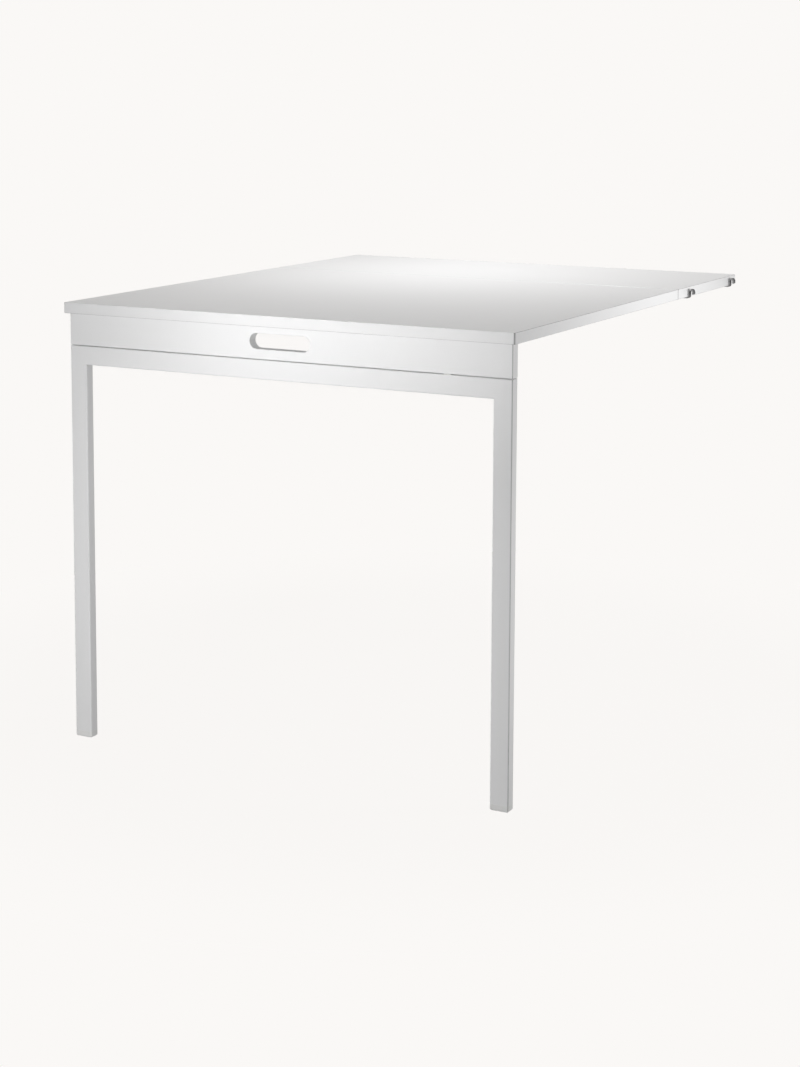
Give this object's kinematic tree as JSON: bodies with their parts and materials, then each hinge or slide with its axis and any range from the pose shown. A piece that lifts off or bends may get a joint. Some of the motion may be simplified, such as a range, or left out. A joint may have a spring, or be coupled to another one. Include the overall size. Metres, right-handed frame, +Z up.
{
  "type": "wall mounted drop leaf table",
  "caption": "Wall mounted drop leaf table: a fixed shelf board with ladder hooks, a hinged leaf with a slotted apron, and a folding tube leg frame.",
  "frame": {"origin": "on the floor, below the middle of the open table", "axes": "+Z up, +Y towards the wall, -Y towards the front with the hand slot, +X to the right as seen from the front"},
  "size_m": [0.8, 0.96, 0.705],
  "materials": {
    "white_lacquer": "satin lacquer on board",
    "white_powder_coat": "satin",
    "white_plastic": "matte",
    "pale_pad": "matte",
    "beech_dowel": "raw",
    "screw_steel": "zinc plated",
    "dark_steel": "satin",
    "hinge_steel": "satin"
  },
  "bodies": {
    "shelf": {"hook_left_back": "dark_steel", "hook_left_front": "dark_steel", "hook_right_back": "dark_steel", "hook_right_front": "dark_steel", "hook_screws": "screw_steel", "leaf_hinge_pin_1": "hinge_steel", "leaf_hinge_pin_2": "hinge_steel", "leaf_hinge_pin_3": "hinge_steel", "leaf_hinge_shelf_plate_1": "hinge_steel", "leaf_hinge_shelf_plate_2": "hinge_steel", "leaf_hinge_shelf_plate_3": "hinge_steel", "leaf_hinge_shelf_screws": "screw_steel", "shelf_board": "white_lacquer"},
    "leaf": {"apron_board": "white_lacquer", "apron_dowels": "beech_dowel", "leaf_board": "white_lacquer", "leaf_hinge_leaf_plate_1": "hinge_steel", "leaf_hinge_leaf_plate_2": "hinge_steel", "leaf_hinge_leaf_plate_3": "hinge_steel", "leaf_hinge_leaf_screws": "screw_steel", "leg_hinge_apron_plate_1": "hinge_steel", "leg_hinge_apron_plate_2": "hinge_steel", "leg_hinge_apron_screws": "screw_steel", "leg_hinge_pin_1": "hinge_steel", "leg_hinge_pin_2": "hinge_steel"},
    "leg_frame": {"foot_glide_left": "white_plastic", "foot_glide_right": "white_plastic", "gap_pad": "pale_pad", "leg_hinge_rail_plate_1": "hinge_steel", "leg_hinge_rail_plate_2": "hinge_steel", "leg_hinge_rail_screws": "screw_steel", "leg_post_left": "white_powder_coat", "leg_post_right": "white_powder_coat", "leg_rail": "white_powder_coat"}
  },
  "joints": [
    {"name": "leaf_drop", "type": "hinge", "parent": "shelf", "child": "leaf", "pos_m": [0, 0.1825, 0.6812], "axis": [1, 0, 0], "range_deg": [0, 90]},
    {"name": "leg_fold", "type": "hinge", "parent": "leaf", "child": "leg_frame", "pos_m": [0, -0.4492, 0.6374], "axis": [1, 0, 0], "range_deg": [0, 94.8]}
  ]
}
